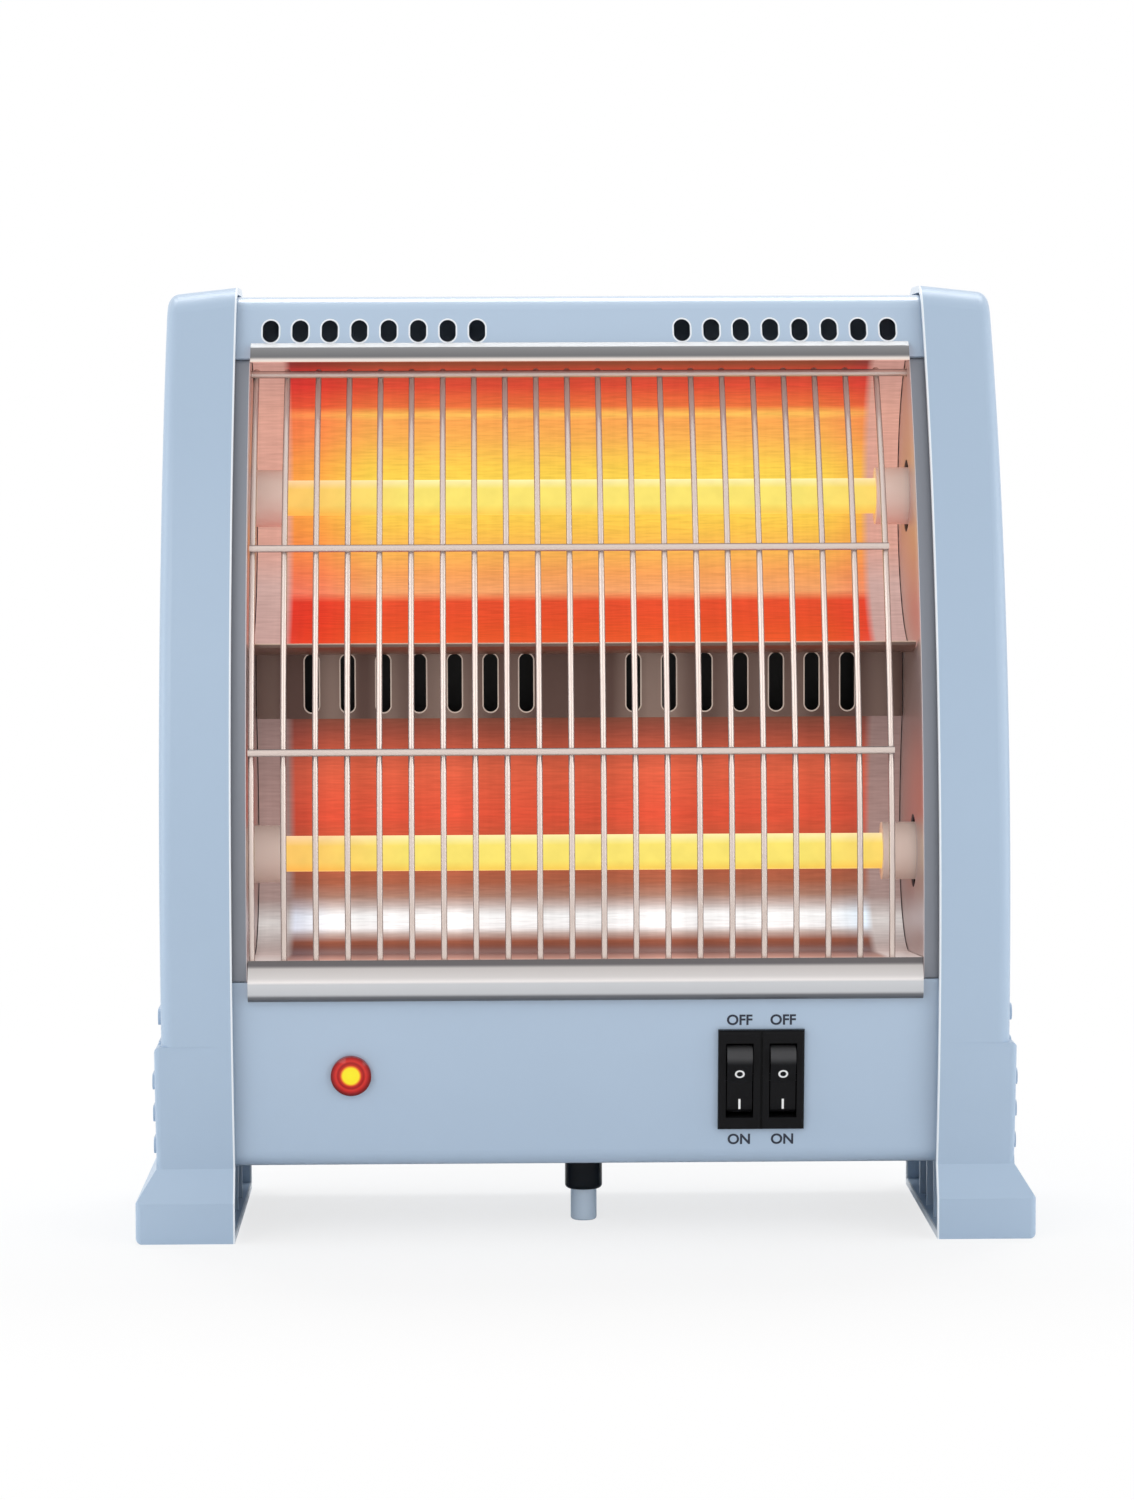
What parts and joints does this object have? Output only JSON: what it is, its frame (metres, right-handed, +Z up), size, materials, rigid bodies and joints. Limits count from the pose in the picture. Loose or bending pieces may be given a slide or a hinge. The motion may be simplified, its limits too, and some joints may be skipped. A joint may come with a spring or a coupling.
{
  "type": "quartz heater",
  "caption": "Free-standing quartz tube room heater: moulded side panels, vented cover, polished reflectors behind a wire guard, rocker switches, indicator lamp, tip-over plunger.",
  "frame": {"origin": "on the floor under the middle of the heater", "axes": "+X to the right seen from the front, +Y to the back, +Z up; the front faces -Y"},
  "size_m": [0.278, 0.112, 0.2955],
  "materials": {
    "panel_plastic": "moulded, light blue-grey, soft gloss",
    "casing_paint": "light blue-grey enamel",
    "rear_paint": "grey enamel",
    "end_plate_sheet": "bright sheet",
    "polished_reflector": "polished",
    "guard_chrome": "bright wire",
    "quartz": "quartz tube, lit",
    "ceramic": "opaque glazed ceramic",
    "zinc_steel": "zinc plated",
    "brass": "plain",
    "heating_wire": "glowing resistance wire",
    "spring_steel": "bright spring wire",
    "black_gloss": "black",
    "red_lens": "clear red",
    "white_plastic": "plain",
    "neon_glass": "glowing",
    "black_plastic": "plain",
    "grey_plastic": "plain",
    "lead_sleeve": "woven sleeve"
  },
  "bodies": {
    "casing": {"control_panel": "casing_paint", "cord_gland": "black_plastic", "fixed_contacts": "brass", "gland_nut": "black_plastic", "guard_grille": "guard_chrome", "indicator_lens": "red_lens", "indicator_ring": "white_plastic", "left_end_plate": "end_plate_sheet", "left_side_panel": "panel_plastic", "lower_heating_coil": "heating_wire", "lower_left_bracket": "zinc_steel", "lower_left_cap": "ceramic", "lower_left_terminal": "brass", "lower_quartz_tube": "quartz", "lower_reflector": "polished_reflector", "lower_right_bracket": "zinc_steel", "lower_right_cap": "ceramic", "lower_right_terminal": "brass", "lower_tube_lead": "lead_sleeve", "neon_lamp": "neon_glass", "plunger_collar": "black_plastic", "plunger_spring": "spring_steel", "rear_panel": "rear_paint", "rear_panel_screws": "zinc_steel", "return_lead": "lead_sleeve", "right_end_plate": "end_plate_sheet", "right_side_panel": "panel_plastic", "rocker_pivot_pin": "zinc_steel", "side_panel_screws": "zinc_steel", "switch_housing": "black_gloss", "switch_supply_lead": "lead_sleeve", "switch_terminals": "brass", "terminal_block": "white_plastic", "tip_supply_lead": "lead_sleeve", "tip_switch_housing": "white_plastic", "tip_switch_screws": "zinc_steel", "top_cover": "casing_paint", "tube_link_lead": "lead_sleeve", "upper_heating_coil": "heating_wire", "upper_left_bracket": "zinc_steel", "upper_left_cap": "ceramic", "upper_left_terminal": "brass", "upper_quartz_tube": "quartz", "upper_reflector": "polished_reflector", "upper_right_bracket": "zinc_steel", "upper_right_cap": "ceramic", "upper_right_terminal": "brass", "upper_tube_lead": "lead_sleeve", "vent_strip": "polished_reflector"},
    "left_rocker_body": {"left_rocker": "black_gloss"},
    "right_rocker_body": {"right_rocker": "black_gloss"},
    "plunger_body": {"tip_plunger": "grey_plastic", "contact_bridge": "brass"}
  },
  "joints": [
    {"name": "left_rocker_tip", "type": "hinge", "parent": "casing", "child": "left_rocker_body", "pos_m": [0.0474, -0.04455, 0.04994], "axis": [-1, 0, 0], "range_deg": [0, 20]},
    {"name": "right_rocker_tip", "type": "hinge", "parent": "casing", "child": "right_rocker_body", "pos_m": [0.0608, -0.04455, 0.04994], "axis": [-1, 0, 0], "range_deg": [0, 20]},
    {"name": "plunger_slide", "type": "slide", "parent": "casing", "child": "plunger_body", "axis": [0, 0, 1], "range_m": [-0.007, 0], "stiffness_N_per_m": 120, "springref_m": -0.01, "deforming": ["plunger_spring"]}
  ]
}
